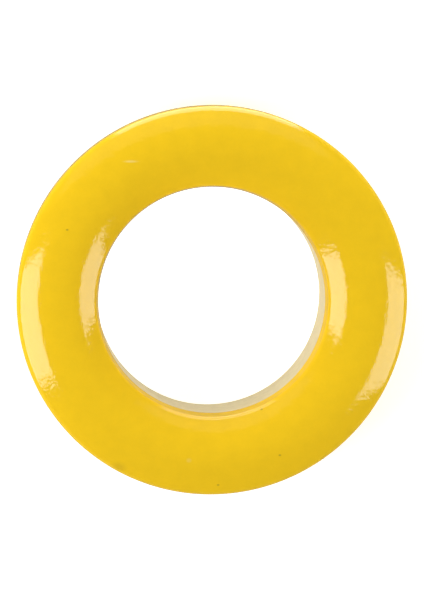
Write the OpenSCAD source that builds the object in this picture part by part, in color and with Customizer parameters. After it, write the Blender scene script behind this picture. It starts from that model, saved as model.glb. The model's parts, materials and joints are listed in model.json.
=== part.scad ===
// Thick domed juggling ring: two gloss shells closed over a foam filling, with a pale
// flanged sleeve lining the bore.
//
// Frame: millimetres. The ring lies flat on its back face at z = 0, the bore runs along Z
// through the origin, and the domed front faces +Z.
//
// How it goes together: the back filling is laid in the back shell, the sleeve is pushed
// through from behind until its flange sits in the back shell's seat, the rim band is glued
// inside the outer seam, and the front shell closes over the front filling with its inner
// lip seated in the rebate at the top of the sleeve.

/* [Ring] */
// Outside diameter
ring_d = 240; // [230:1:260]
// Bore diameter
bore_d = 140; // [130:1:146]
// Overall thickness, back face to crown
ring_t = 54; // [50:1:60]

/* [Front dome] */
// Height of the dome above the straight walls
dome_rise = 11; // [9:0.5:14]
// Radius of the dome's outer shoulder
outer_corner_r = 6.2; // [5:0.2:8]
// Radius of the dome's inner shoulder, at the bore
inner_corner_r = 4.6; // [3:0.2:6]
// How far the lip flares outward from the sleeve's bore on its way up to the dome
lip_flare = 1; // [0.6:0.1:1.4]
// Height of the straight wall at the outer rim
rim_wall_h = 8; // [6:0.5:12]

/* [Back] */
// How far the rounded back edge reaches in from the rim
back_round = 19; // [17:0.5:22]
// Radius of the back edge where it meets the flat back face
back_corner_r = 14; // [10:0.5:15]

/* [Walls] */
// Wall of both shells
shell_wall = 1.6; // [1.2:0.1:2]
// Gap left for glue between bonded faces
glue_gap = 0.1; // [0.05:0.05:0.2]

/* [Bore sleeve] */
// Wall of the sleeve
sleeve_wall = 4; // [3.6:0.1:5]
// Radius of the sleeve's bottom edge
sleeve_edge_r = 3; // [2:0.5:4]
// Width of the flange on the back face, outward from the bore
flange_w = 8; // [6:0.5:10]
// Length of the front shell's lip, down the bore from the foot of the dome
lip_h = 7; // [4:0.5:9]

/* [Rim band] */
// Wall of the band glued inside the outer seam
rim_band_wall = 1.6; // [1.2:0.1:2.4]

/* [Foam filling] */
// Clearance between the filling and the walls round it
foam_gap = 0.3; // [0.2:0.1:0.6]

/* [Hidden] */
$fn = 180;

ring_r = ring_d / 2;
bore_r = bore_d / 2;
front_bore_r = bore_r + lip_flare;
mid_r = (ring_r + front_bore_r) / 2;
half_band = (ring_r - front_bore_r) / 2;

// Levels up the section
dome_base_z = ring_t - dome_rise;
rim_base_z = dome_base_z - rim_wall_h;
seam_z = (dome_base_z + rim_base_z) / 2;
lip_z = dome_base_z - lip_h;

// A quarter oval of the given reach and rise is a small corner arc and a large arc that
// meet at a tangent. This is the radius of the large one.
function large_arc_r(reach, rise, corner_r) =
    (pow(reach - corner_r, 2) + pow(rise, 2) - pow(corner_r, 2)) / (2 * (rise - corner_r));

// Radius of the crown arc over one side of the dome, and the angle along it to the shoulder
function crown_r(corner_r) = large_arc_r(half_band, dome_rise, corner_r);
function crown_angle(corner_r) = asin((half_band - corner_r) / (crown_r(corner_r) - corner_r));

// Side arc down the outside of the back, and the angle down it to the corner arc
side_r = large_arc_r(rim_base_z, back_round, back_corner_r);
side_angle = asin((rim_base_z - back_corner_r) / (side_r - back_corner_r));

// Flange seat in the back face
flange_t = shell_wall - glue_gap;
flange_r = bore_r + flange_w;
seat_lap = 2;

// Section band between two radii and two heights
module strip(inner_r, outer_r, low_z, high_z) {
    translate([inner_r, low_z]) square([outer_r - inner_r, high_z - low_z]);
}

// Solid section under half the dome, from its crown to one side, every face moved in by inset
module half_dome_section(corner_r, inset, floor_z) {
    big_r = crown_r(corner_r);
    clip_w = (big_r - inset) * sin(crown_angle(corner_r));
    intersection() {
        translate([0, ring_t - big_r]) circle(r = big_r - inset);
        strip(0, clip_w, floor_z, ring_t);
    }
    intersection() {
        translate([half_band - corner_r, dome_base_z]) circle(r = corner_r - inset);
        strip(0, half_band, floor_z, ring_t);
    }
    strip(0, half_band - inset, floor_z, dome_base_z);
}

// Solid section under the dome, every face moved in by inset, down to floor_z
module dome_section(inset, floor_z) {
    translate([mid_r, 0]) half_dome_section(outer_corner_r, inset, floor_z);
    translate([mid_r, 0]) mirror([1, 0]) half_dome_section(inner_corner_r, inset, floor_z);
}

// Solid section of the back, every face moved in by inset, up to the outer seam
module back_section(inset) {
    corner_x = ring_r - back_round;
    side_low_z = rim_base_z - (side_r - inset) * sin(side_angle);
    intersection() {
        translate([ring_r - side_r, rim_base_z]) circle(r = side_r - inset);
        strip(corner_x, ring_r, side_low_z, seam_z);
    }
    translate([corner_x, back_corner_r]) circle(r = back_corner_r - inset);
    strip(bore_r + inset, corner_x, inset, seam_z);
    strip(corner_x, ring_r - inset, rim_base_z, seam_z);
}

// Thickening of the lip that narrows the bore from the dome's inner wall to the sleeve's
module lip_flare_section() {
    back_x = front_bore_r + shell_wall / 2;
    polygon([[bore_r, lip_z], [back_x, lip_z], [back_x, dome_base_z], [front_bore_r, dome_base_z]]);
}

// Gloss front: the dome, down to the outer seam and down the bore as a flared lip
module front_shell() {
    color("#f2c41f")
        rotate_extrude() {
            difference() {
                dome_section(0, lip_z);
                dome_section(shell_wall, lip_z - 1);
                strip(mid_r, ring_r + 1, lip_z - 1, seam_z);
            }
            lip_flare_section();
        }
}

// Gloss back: rounded edge and flat resting face, with a recessed seat for the sleeve's flange
module back_shell() {
    color("#edbd1c")
        rotate_extrude() {
            difference() {
                back_section(0);
                back_section(shell_wall);
                strip(bore_r - 1, flange_r + glue_gap, -1, seam_z + 1);
            }
            strip(bore_r + sleeve_wall + glue_gap, flange_r + seat_lap, shell_wall, 2 * shell_wall);
        }
}

// Pale lining of the bore, with a flange on the back face and a rebate for the front lip
module bore_sleeve() {
    edge = sleeve_edge_r;
    color("#e3d2a6")
        rotate_extrude()
            difference() {
                union() {
                    strip(bore_r, bore_r + sleeve_wall, edge, dome_base_z);
                    strip(bore_r + edge, flange_r, 0, flange_t);
                    intersection() {
                        translate([bore_r + edge, edge]) circle(r = edge);
                        strip(bore_r, bore_r + edge, 0, edge);
                    }
                }
                strip(bore_r - 1, front_bore_r + shell_wall + glue_gap, lip_z, dome_base_z + 1);
            }
}

// Hoop glued inside the outer seam, across both shells
module rim_band() {
    band_r = ring_r - shell_wall - glue_gap;
    color("#d9d2c0")
        rotate_extrude()
            strip(band_r - rim_band_wall, band_r, rim_base_z, dome_base_z);
}

// What the filling keeps clear of: the sleeve, the flange seat and the rim band
module foam_keep_out() {
    strip(0, bore_r + sleeve_wall + foam_gap, -1, ring_t);
    strip(0, flange_r + seat_lap + foam_gap, -1, 2 * shell_wall + foam_gap);
    strip(
        ring_r - shell_wall - glue_gap - rim_band_wall - foam_gap, ring_r,
        rim_base_z - foam_gap, dome_base_z + foam_gap
    );
}

// Closed-cell filling under the dome
module front_foam() {
    color("#f4f1e6")
        rotate_extrude()
            difference() {
                dome_section(shell_wall + foam_gap, seam_z);
                foam_keep_out();
            }
}

// Closed-cell filling in the back shell
module back_foam() {
    color("#ece8da")
        rotate_extrude()
            difference() {
                back_section(shell_wall + foam_gap);
                foam_keep_out();
            }
}

front_shell();
back_shell();
bore_sleeve();
rim_band();
front_foam();
back_foam();
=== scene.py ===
"""Looks for the domed juggling ring: gloss yellow shells, cream bore sleeve, studio and camera."""
import json
import math

import bpy
from mathutils import Matrix, Vector, noise


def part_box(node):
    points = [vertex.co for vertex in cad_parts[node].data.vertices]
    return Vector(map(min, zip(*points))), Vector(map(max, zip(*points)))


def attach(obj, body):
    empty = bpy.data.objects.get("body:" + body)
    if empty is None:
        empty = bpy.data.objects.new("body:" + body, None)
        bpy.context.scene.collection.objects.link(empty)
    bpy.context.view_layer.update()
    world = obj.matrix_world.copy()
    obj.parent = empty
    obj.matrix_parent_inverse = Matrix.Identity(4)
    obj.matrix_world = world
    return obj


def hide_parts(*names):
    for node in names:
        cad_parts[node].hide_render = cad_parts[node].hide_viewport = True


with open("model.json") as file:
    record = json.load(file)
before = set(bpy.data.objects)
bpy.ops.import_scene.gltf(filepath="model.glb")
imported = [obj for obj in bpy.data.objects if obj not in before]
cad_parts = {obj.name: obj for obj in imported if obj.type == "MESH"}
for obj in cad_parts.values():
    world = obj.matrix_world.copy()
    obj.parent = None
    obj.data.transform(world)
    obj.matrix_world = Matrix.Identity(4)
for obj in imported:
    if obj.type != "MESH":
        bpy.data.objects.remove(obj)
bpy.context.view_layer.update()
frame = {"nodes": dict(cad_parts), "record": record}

# ---------------------------------------------------------------- sizes, in metres

MM = 0.001
BODY = "root"

# Read from the frame
ring_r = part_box("front_shell")[1].x
crown_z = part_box("front_shell")[1].z
lip_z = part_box("front_shell")[0].z
seam_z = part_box("back_shell")[1].z
rim_base_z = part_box("rim_band")[0].z
dome_base_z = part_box("rim_band")[1].z
flange_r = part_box("bore_sleeve")[1].x
bore_r = next(m for m in frame["record"]["mounts"] if m["kind"] == "bore")["dims"]["r_mm"] * MM

# The section's arcs and walls, as the part has them
lip_flare = 1 * MM
front_bore_r = bore_r + lip_flare
mid_r = (ring_r + front_bore_r) / 2
half_band = (ring_r - front_bore_r) / 2
outer_corner_r = 6.2 * MM
inner_corner_r = 4.6 * MM
back_reach = 19 * MM
back_corner_r = 14 * MM
shell_wall = 1.6 * MM
glue_gap = 0.1 * MM
sleeve_wall = 4 * MM
sleeve_edge_r = 3 * MM
seat_lap = 2 * MM

# Fine edges that only the looks have
lip_edge_r = 0.45 * MM
seam_edge_r = 0.35 * MM
flange_edge_r = 0.3 * MM

# Slow waves in the gloss coat, and the height above the flat back at which they reach full depth
wave_depth = 0.03 * MM
wavelength = 28 * MM
wave_full_z = 8 * MM

# How finely the meshes are cut: steps round the ring, spacing along straight runs of the outline,
# and degrees a step round the fine edges
RING_STEPS = 540
WALL_SPACING = 0.8 * MM
BORE_SPACING = 0.7 * MM
FACE_SPACING = 1.5 * MM
EDGE_STEP_DEG = 15
SHARP_DEG = 40


# ---------------------------------------------------------------- outlines and lathe

def arc(cx, cz, r, start_deg, end_deg, step_deg=3.0):
    """Points along an arc in the (radius, height) plane. 0 degrees points outward, 90 up."""
    count = max(2, int(abs(end_deg - start_deg) / step_deg) + 1)
    points = []
    for i in range(count + 1):
        a = math.radians(start_deg + (end_deg - start_deg) * i / count)
        points.append((cx + r * math.cos(a), cz + r * math.sin(a)))
    return points


def line(a, b, spacing):
    """Points from a up to, but without, b."""
    length = math.dist(a, b)
    count = max(1, round(length / spacing))
    return [(a[0] + (b[0] - a[0]) * i / count, a[1] + (b[1] - a[1]) * i / count) for i in range(count)]


def large_arc_r(reach, rise, corner_r):
    """Radius of the large arc of a quarter oval whose small arc has corner_r."""
    return ((reach - corner_r) ** 2 + rise ** 2 - corner_r ** 2) / (2 * (rise - corner_r))


def quarter_dome(side, corner_r, inset):
    """Half of the dome's section, from its shoulder to the crown; side is 1 outward, -1 inward."""
    big = large_arc_r(half_band, crown_z - dome_base_z, corner_r)
    split = math.degrees(math.asin((half_band - corner_r) / (big - corner_r)))
    shoulder = arc(half_band - corner_r, dome_base_z, corner_r - inset, 0, 90 - split, 3.0)
    top = arc(0, crown_z - big, big - inset, 90 - split, 90, 1.0)
    return [(mid_r + side * x, z) for x, z in shoulder + top[1:]]


def front_outline():
    """Front shell: up the bore lip, over the dome, down to the seam, and back along the inside."""
    e = lip_edge_r
    s = seam_edge_r
    lip_end = arc(bore_r + e, lip_z + e, e, 270, 180, EDGE_STEP_DEG)
    inner = quarter_dome(-1, inner_corner_r, 0)
    outer = quarter_dome(1, outer_corner_r, 0)
    points = lip_end
    points += line(lip_end[-1], inner[0], WALL_SPACING)[1:]
    points += inner
    points += outer[-2::-1]
    seam_end = arc(ring_r - s, seam_z + s, s, 0, -90, EDGE_STEP_DEG)
    points += line(outer[0], seam_end[0], WALL_SPACING)[1:]
    points += seam_end
    inner_skin = quarter_dome(-1, inner_corner_r, shell_wall)
    outer_skin = quarter_dome(1, outer_corner_r, shell_wall)
    points += [(ring_r - shell_wall, seam_z)]
    points += outer_skin
    points += inner_skin[-2::-1]
    points += [(front_bore_r + shell_wall, lip_z)]
    return points


def quarter_back(inset):
    """The back's outer section, from the rim wall down to the flat back face."""
    big = large_arc_r(rim_base_z, back_reach, back_corner_r)
    split = math.degrees(math.asin((rim_base_z - back_corner_r) / (big - back_corner_r)))
    side = arc(ring_r - big, rim_base_z, big - inset, 0, -split, 1.5)
    corner = arc(ring_r - back_reach, back_corner_r, back_corner_r - inset, -split, -90, 3.0)
    return side + corner[1:]


def back_outline():
    """Back shell: from the seam down the outside, in along the back face, and back inside."""
    s = seam_edge_r
    f = flange_edge_r
    edge_r = flange_r + glue_gap
    outside = quarter_back(0)
    seam_end = arc(ring_r - s, seam_z - s, s, 90, 0, EDGE_STEP_DEG)
    points = seam_end
    points += line(seam_end[-1], outside[0], WALL_SPACING)[1:]
    points += outside
    face_end = arc(edge_r + f, f, f, -90, -180, EDGE_STEP_DEG)
    points += line(outside[-1], face_end[0], FACE_SPACING)[1:]
    points += face_end
    seat_r = bore_r + sleeve_wall + glue_gap
    points += [(edge_r, shell_wall), (seat_r, shell_wall), (seat_r, 2 * shell_wall)]
    points += [(flange_r + seat_lap, 2 * shell_wall), (flange_r + seat_lap, shell_wall)]
    inside = quarter_back(shell_wall)
    points += inside[::-1]
    points += [(ring_r - shell_wall, seam_z)]
    return points


def sleeve_outline():
    """Bore sleeve: from its rebate under the lip down the bore, round the edge and along the flange."""
    e = lip_edge_r
    f = flange_edge_r
    rebate_r = front_bore_r + shell_wall + glue_gap
    flange_t = shell_wall - glue_gap
    outer_r = bore_r + sleeve_wall
    top_edge = arc(bore_r + e, lip_z - e, e, 90, 180, EDGE_STEP_DEG)
    bottom = arc(bore_r + sleeve_edge_r, sleeve_edge_r, sleeve_edge_r, 180, 270, 6)
    points = [(outer_r, dome_base_z), (rebate_r, dome_base_z), (rebate_r, lip_z)]
    points += top_edge
    points += line(top_edge[-1], bottom[0], BORE_SPACING)[1:]
    points += bottom
    points += arc(flange_r - f, f, f, -90, 0, EDGE_STEP_DEG)
    points += [(flange_r, flange_t), (outer_r, flange_t)]
    return points


def lathe(name, outline):
    """A closed ring: the outline, in (radius, height), turned round Z."""
    count = len(outline)
    verts = []
    for i in range(RING_STEPS):
        a = 2 * math.pi * i / RING_STEPS
        verts += [(r * math.cos(a), r * math.sin(a), z) for r, z in outline]
    faces = []
    for i in range(RING_STEPS):
        here = i * count
        there = ((i + 1) % RING_STEPS) * count
        for j in range(count):
            k = (j + 1) % count
            faces.append((here + j, there + j, there + k, here + k))
    mesh = bpy.data.meshes.new(name)
    mesh.from_pydata(verts, [], faces)
    area = sum(a[0] * b[1] - b[0] * a[1] for a, b in zip(outline, outline[1:] + outline[:1]))
    if area > 0:
        mesh.flip_normals()
    mesh.shade_smooth()
    mesh.set_sharp_from_angle(angle=math.radians(SHARP_DEG))
    piece = bpy.data.objects.new(name, mesh)
    bpy.context.scene.collection.objects.link(piece)
    return piece


def add_waves(piece):
    """Moves each point along its normal by a slow, smooth noise, as a sprayed gloss coat settles.

    The flat back face stays flat: the waves start there and reach full depth at wave_full_z.
    """
    mesh = piece.data
    normals = [Vector(n.vector) for n in mesh.vertex_normals]
    for vertex, normal in zip(mesh.vertices, normals):
        share = max(0.0, min(1.0, vertex.co.z / wave_full_z))
        vertex.co += normal * wave_depth * share * noise.noise(vertex.co / wavelength)


# ---------------------------------------------------------------- materials

class Nodes:
    """A short way to build a node tree."""

    def __init__(self, name):
        self.material = bpy.data.materials.new(name)
        self.material.use_nodes = True
        self.tree = self.material.node_tree
        self.shader = self.tree.nodes["Principled BSDF"]
        self.coords = self.add("ShaderNodeTexCoord").outputs["Object"]

    def add(self, kind, inputs=None, **settings):
        """A new node, with its settings and its input values or links."""
        node = self.tree.nodes.new(kind)
        for key, value in settings.items():
            setattr(node, key, value)
        for key, value in (inputs or {}).items():
            self.put(node.inputs[key], value)
        return node

    def put(self, socket, value):
        """Links a socket to another, or sets its value."""
        if isinstance(value, bpy.types.NodeSocket):
            self.tree.links.new(value, socket)
        else:
            socket.default_value = value

    def noise(self, size, detail, roughness=0.5):
        """Noise whose features are about size across, from 0 to 1."""
        inputs = {"Vector": self.coords, "Scale": 1 / size, "Detail": detail, "Roughness": roughness}
        return self.add("ShaderNodeTexNoise", inputs).outputs["Fac"]

    def ramp(self, value, stops):
        """A colour ramp through (position, colour) stops."""
        node = self.add("ShaderNodeValToRGB", {"Fac": value})
        elements = node.color_ramp.elements
        while len(elements) < len(stops):
            elements.new(0.5)
        for element, (position, colour) in zip(elements, stops):
            element.position = position
            element.color = (*colour, 1)
        return node.outputs["Color"]

    def maths(self, operation, a, b):
        return self.add("ShaderNodeMath", {0: a, 1: b}, operation=operation).outputs[0]

    def mix(self, factor, a, b):
        node = self.add("ShaderNodeMix", data_type="RGBA")
        self.put(node.inputs["Factor"], factor)
        self.put(node.inputs["A"], a)
        self.put(node.inputs["B"], b)
        return node.outputs["Result"]

    def marked(self, colour, spot, strength, mark):
        """The colour with a mark mixed in where the spot is."""
        return self.mix(self.maths("MULTIPLY", spot, strength), colour, (*mark, 1))

    def spot(self, centre, reach, core):
        """1 within the core of an ellipsoid round centre, falling to 0 at its reach along x, y and z."""
        offset = self.add("ShaderNodeVectorMath", {0: self.coords, 1: centre}, operation="SUBTRACT")
        inputs = {0: offset.outputs["Vector"], 1: reach}
        unit = self.add("ShaderNodeVectorMath", inputs, operation="DIVIDE")
        length = self.add("ShaderNodeVectorMath", {0: unit.outputs["Vector"]}, operation="LENGTH")
        inputs = {"Value": length.outputs["Value"], "From Min": core, "To Min": 1.0, "To Max": 0.0}
        return self.add("ShaderNodeMapRange", inputs, interpolation_type="SMOOTHSTEP").outputs["Result"]

    def bump(self, height, distance, below=None):
        """The normal over bumps of a given depth, on top of another bump's if below is given."""
        inputs = {"Height": height, "Distance": distance}
        if below is not None:
            inputs["Normal"] = below
        return self.add("ShaderNodeBump", inputs).outputs["Normal"]


def scaled(colour, factor):
    return tuple(c * factor for c in colour)


YELLOW = (0.88, 0.557, 0.0085)
CREAM = (0.68, 0.59, 0.36)
BAND = (0.69, 0.64, 0.52)
FOAM = (0.86, 0.83, 0.74)
DIRT = (0.10, 0.06, 0.02)
SCUFF = (0.93, 0.80, 0.42)


def on_dome(radius, angle_deg):
    """The point of the front dome at a radius and an angle round the ring."""
    side_x = radius - mid_r
    corner_r = outer_corner_r if side_x > 0 else inner_corner_r
    big = large_arc_r(half_band, crown_z - dome_base_z, corner_r)
    split_x = big * (half_band - corner_r) / (big - corner_r)
    if abs(side_x) < split_x:
        z = crown_z - big + math.sqrt(big ** 2 - side_x ** 2)
    else:
        z = dome_base_z + math.sqrt(max(0, corner_r ** 2 - (abs(side_x) - half_band + corner_r) ** 2))
    a = math.radians(angle_deg)
    return Vector((radius * math.cos(a), radius * math.sin(a), z))


# Small flaws on the front: where each one is, how far it reaches along x, y and z, and how strong
SPECKS = [
    on_dome(100.1 * MM, 152.8),
    on_dome(102.5 * MM, 293.3),
    on_dome(112.8 * MM, 271.4),
    on_dome(72.9 * MM, 294.1),
]
SPECK_REACH = (1.1 * MM, 0.8 * MM, 1.0 * MM)
SPECK_STRENGTH = 0.4
SMUDGE = on_dome(116.5 * MM, 240)
SMUDGE_REACH = (7 * MM, 5 * MM, 6 * MM)
SMUDGE_STRENGTH = 0.18
PALE_SPOT = on_dome(97.8 * MM, 260.9)
PALE_SPOT_REACH = (2.4 * MM, 2.0 * MM, 2.0 * MM)
PALE_SPOT_STRENGTH = 0.15
RUB = on_dome(100.5 * MM, 120.1)
RUB_REACH = (6.5 * MM, 1.1 * MM, 3.0 * MM)
RUB_STRENGTH = 0.3

# How much of a flaw's reach is at full strength
SPECK_CORE = 0.5
SOFT_CORE = 0.1

# Gloss coat: roughness where clean, what the rub adds to it, and refractive index
COAT_ROUGHNESS = 0.07
RUB_ROUGHNESS = 0.3
COAT_IOR = 1.476

# Orange peel in two sizes: width and depth of its bumps
SLOW_PEEL = (4.5 * MM, 0.12 * MM)
FINE_PEEL = (2 * MM, 0.09 * MM)

# Matte cream: width and depth of its grain, and its roughness
CREAM_GRAIN = (0.7 * MM, 0.03 * MM)
CREAM_ROUGHNESS = 0.6

# Hidden parts: width and depth of their cells, and their roughness
HIDDEN_CELLS = (1.2 * MM, 0.1 * MM)
HIDDEN_ROUGHNESS = 0.8


def gloss_yellow():
    """Yellow gloss coat: faint cloudiness in the colour, orange peel, and a few small flaws."""
    n = Nodes("gloss_yellow")
    cloud = n.noise(9 * MM, 3.0)
    fine = n.noise(1.6 * MM, 2.0)
    tone = n.maths("ADD", n.maths("MULTIPLY", cloud, 0.7), n.maths("MULTIPLY", fine, 0.3))
    colour = n.ramp(tone, [(0.35, scaled(YELLOW, 0.975)), (0.65, scaled(YELLOW, 1.02))])
    for centre in SPECKS:
        colour = n.marked(colour, n.spot(centre, SPECK_REACH, SPECK_CORE), SPECK_STRENGTH, DIRT)
    colour = n.marked(colour, n.spot(SMUDGE, SMUDGE_REACH, SOFT_CORE), SMUDGE_STRENGTH, DIRT)
    pale = n.spot(PALE_SPOT, PALE_SPOT_REACH, SOFT_CORE)
    colour = n.marked(colour, pale, PALE_SPOT_STRENGTH, SCUFF)
    rub = n.spot(RUB, RUB_REACH, SOFT_CORE)
    colour = n.marked(colour, rub, RUB_STRENGTH, SCUFF)
    n.put(n.shader.inputs["Base Color"], colour)
    slow_width, slow_depth = SLOW_PEEL
    fine_width, fine_depth = FINE_PEEL
    normal = n.bump(n.noise(slow_width, 1.0), slow_depth)
    normal = n.bump(n.noise(fine_width, 2.0), fine_depth, below=normal)
    n.put(n.shader.inputs["Normal"], normal)
    roughness = n.maths("ADD", n.maths("MULTIPLY", rub, RUB_ROUGHNESS), COAT_ROUGHNESS)
    n.put(n.shader.inputs["Roughness"], roughness)
    n.shader.inputs["IOR"].default_value = COAT_IOR
    return n.material


def cream_bore():
    """Matte cream sleeve: soft mottling and a fine grain."""
    n = Nodes("cream_bore")
    cloud = n.noise(5 * MM, 4.0, 0.6)
    colour = n.ramp(cloud, [(0.3, scaled(CREAM, 0.93)), (0.7, scaled(CREAM, 1.05))])
    n.put(n.shader.inputs["Base Color"], colour)
    grain_width, grain_depth = CREAM_GRAIN
    n.put(n.shader.inputs["Normal"], n.bump(n.noise(grain_width, 3.0), grain_depth))
    n.shader.inputs["Roughness"].default_value = CREAM_ROUGHNESS
    return n.material


def hidden_plastic(name, colour):
    """Plain moulded or foamed part that stays inside."""
    n = Nodes(name)
    cell_width, cell_depth = HIDDEN_CELLS
    cells = n.noise(cell_width, 3.0)
    n.put(n.shader.inputs["Base Color"], n.ramp(cells, [(0.3, scaled(colour, 0.9)), (0.7, colour)]))
    n.put(n.shader.inputs["Normal"], n.bump(cells, cell_depth))
    n.shader.inputs["Roughness"].default_value = HIDDEN_ROUGHNESS
    return n.material


# ---------------------------------------------------------------- pieces

def place(piece, material, node):
    """Gives a piece its material and puts it in the place of its CAD node."""
    piece.data.materials.append(material)
    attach(piece, BODY)
    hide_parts(node)


yellow = gloss_yellow()
front = lathe("front_shell_skin", front_outline())
back = lathe("back_shell_skin", back_outline())
sleeve = lathe("bore_sleeve_skin", sleeve_outline())
for shell in (front, back):
    add_waves(shell)
place(front, yellow, "front_shell")
place(back, yellow, "back_shell")
place(sleeve, cream_bore(), "bore_sleeve")

for node, material in (
    ("rim_band", hidden_plastic("seam_band", BAND)),
    ("front_foam", hidden_plastic("foam_front", FOAM)),
    ("back_foam", hidden_plastic("foam_back", FOAM)),
):
    for entry in frame["nodes"][node].material_slots:
        entry.material = material


# ---------------------------------------------------------------- studio

def look_at(obj, place_at, target, up=(0, 1, 0)):
    """Puts obj at a point with its -Z towards target."""
    back_axis = (Vector(place_at) - Vector(target)).normalized()
    right = Vector(up).cross(back_axis).normalized()
    turned = Matrix((right, back_axis.cross(right), back_axis)).transposed()
    obj.matrix_world = Matrix.Translation(place_at) @ turned.to_4x4()


def emissive(name, radiance):
    """A plain white glow."""
    n = Nodes(name)
    n.shader.inputs["Base Color"].default_value = (0, 0, 0, 1)
    n.shader.inputs["Emission Color"].default_value = (1, 1, 1, 1)
    n.shader.inputs["Emission Strength"].default_value = radiance
    return n.material


def softbox(name, low, low_azimuths, high, high_azimuths, radiance):
    """A glowing panel that lights the ring and shows in its gloss, but not to the camera.

    low and high are the (distance, height) in metres of its lower and upper edges, and each edge
    runs between two azimuths in degrees.
    """
    corners = []
    for (distance, height), azimuths in ((low, low_azimuths), (high, high_azimuths[::-1])):
        for azimuth in azimuths:
            a = math.radians(azimuth)
            corners.append((distance * math.cos(a), distance * math.sin(a), height))
    mesh = bpy.data.meshes.new(name)
    mesh.from_pydata(corners, [], [(0, 1, 2, 3)])
    mesh.materials.append(emissive(name, radiance))
    panel = bpy.data.objects.new(name, mesh)
    bpy.context.scene.collection.objects.link(panel)
    panel.visible_camera = False


softbox(
    "left_softbox", radiance=5.8,
    low=(1.0, 0.25), low_azimuths=(176, 212.5), high=(1.0, 1.42), high_azimuths=(170, 217),
)
softbox(
    "right_softbox", radiance=4.9,
    low=(1.0, 0.22), low_azimuths=(-28.5, -1), high=(1.0, 1.12), high_azimuths=(-40, 2.5),
)
softbox(
    "top_strip", radiance=4.3,
    low=(1.0, -0.65), low_azimuths=(57, 120), high=(1.25, 0.50), high_azimuths=(57, 120),
)

# A large dim lamp over the top edge; its power comes from its radiance and its area
FILL_RADIANCE = 0.42
fill = bpy.data.lights.new("top_fill", "AREA")
fill.shape = "RECTANGLE"
fill.size = 2.0
fill.size_y = 0.9
fill.energy = FILL_RADIANCE * math.pi * fill.size * fill.size_y
fill_lamp = bpy.data.objects.new("top_fill", fill)
bpy.context.scene.collection.objects.link(fill_lamp)
look_at(fill_lamp, (-0.1, 1.0, 0.75), (0, 0, 0.03), up=(0, 0, 1))

# The room is dim above the horizon and paler below it, where the white table lies
SKY = 0.166
BELOW_HORIZON = 0.27
HORIZON_BLEND = 0.1
world = bpy.data.worlds.new("studio")
bpy.context.scene.world = world
world.use_nodes = True
room = world.node_tree
direction = room.nodes.new("ShaderNodeTexCoord")
height = room.nodes.new("ShaderNodeSeparateXYZ")
blend = room.nodes.new("ShaderNodeMapRange")
blend.inputs["From Min"].default_value = -HORIZON_BLEND
blend.inputs["From Max"].default_value = HORIZON_BLEND
blend.inputs["To Min"].default_value = BELOW_HORIZON
blend.inputs["To Max"].default_value = SKY
room.links.new(direction.outputs["Generated"], height.inputs["Vector"])
room.links.new(height.outputs["Z"], blend.inputs["Value"])
room.links.new(blend.outputs["Result"], room.nodes["Background"].inputs["Strength"])
room.nodes["Background"].inputs["Color"].default_value = (1, 1, 1, 1)

# White paper floor. Its glow keeps it white in the bore and round the ring, and it is left out of
# reflections so that only the panels and the room show in the gloss.
FLOOR_REACH = 3.0
GLOW_IN_BORE = 0.72
GLOW_OUTSIDE = 0.5
corner_signs = ((-1, -1), (1, -1), (1, 1), (-1, 1))
floor_corners = [(FLOOR_REACH * x, FLOOR_REACH * y, 0) for x, y in corner_signs]
floor_mesh = bpy.data.meshes.new("floor")
floor_mesh.from_pydata(floor_corners, [], [(0, 1, 2, 3)])
floor = bpy.data.objects.new("floor", floor_mesh)
bpy.context.scene.collection.objects.link(floor)
paper = Nodes("white_paper")
paper.shader.inputs["Base Color"].default_value = (0.85, 0.85, 0.85, 1)
paper.shader.inputs["Roughness"].default_value = 0.9
paper.shader.inputs["Specular IOR Level"].default_value = 0.0
paper.shader.inputs["Emission Color"].default_value = (1, 1, 1, 1)
from_axis = paper.add("ShaderNodeVectorMath", {0: paper.coords}, operation="LENGTH").outputs["Value"]
glow = paper.add("ShaderNodeMapRange", {
    "Value": from_axis,
    "From Min": bore_r,
    "From Max": ring_r,
    "To Min": GLOW_IN_BORE,
    "To Max": GLOW_OUTSIDE,
})
paper.put(paper.shader.inputs["Emission Strength"], glow.outputs["Result"])
floor_mesh.materials.append(paper.material)
floor.visible_glossy = False

# The camera looks down on the ring from a little up and to the left of its axis. Its distance is
# in metres, and it aims close to the axis, at the level where the ring is widest.
view_left_deg = 4.152
view_up_deg = 6.884
view_distance = 1.6366
lens_mm = 159.85
aim_x = -0.215 * MM
aim_y = 0.523 * MM

camera_data = bpy.data.cameras.new("camera")
camera_data.lens = lens_mm
camera_data.sensor_width = 36
camera_data.clip_end = 20
camera = bpy.data.objects.new("camera", camera_data)
bpy.context.scene.collection.objects.link(camera)
aim = Vector((aim_x, aim_y, (rim_base_z + dome_base_z) / 2))
lean = Vector((-math.tan(math.radians(view_left_deg)), math.tan(math.radians(view_up_deg)), 1))
look_at(camera, aim + lean.normalized() * view_distance, aim)
bpy.context.scene.camera = camera

view = bpy.context.scene.view_settings
view.view_transform = "Standard"
view.look = "None"
